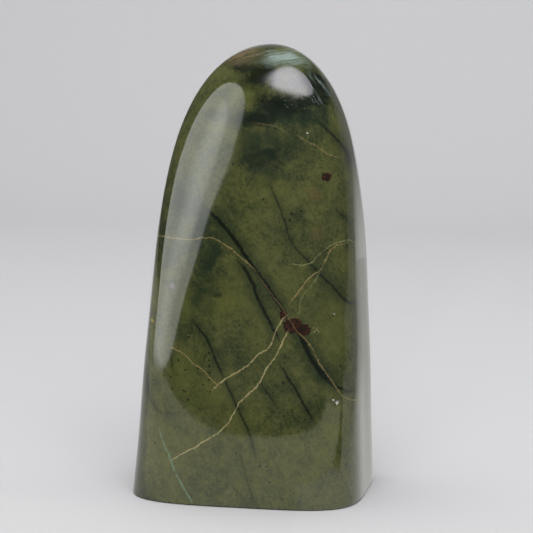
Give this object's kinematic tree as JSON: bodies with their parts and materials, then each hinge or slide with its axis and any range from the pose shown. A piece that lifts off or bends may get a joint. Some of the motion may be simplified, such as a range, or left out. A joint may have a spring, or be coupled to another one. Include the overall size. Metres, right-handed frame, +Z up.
{
  "type": "polished stone tower",
  "caption": "Polished serpentine freeform tower: rounded over to a soft tip, flattened on the sides and sawn flat underneath so that it stands.",
  "frame": {"origin": "on the sawn base, under the middle of the stone's outline", "axes": "+Z up from the base to the tip, +X to the right of the broad front face, -Y out of the front face"},
  "size_m": [0.0678, 0.0508, 0.13],
  "materials": {
    "polished_serpentine": "high polish on the whole outside, sawn base"
  },
  "bodies": {
    "root": {"serpentine_tower": "polished_serpentine"}
  },
  "joints": []
}
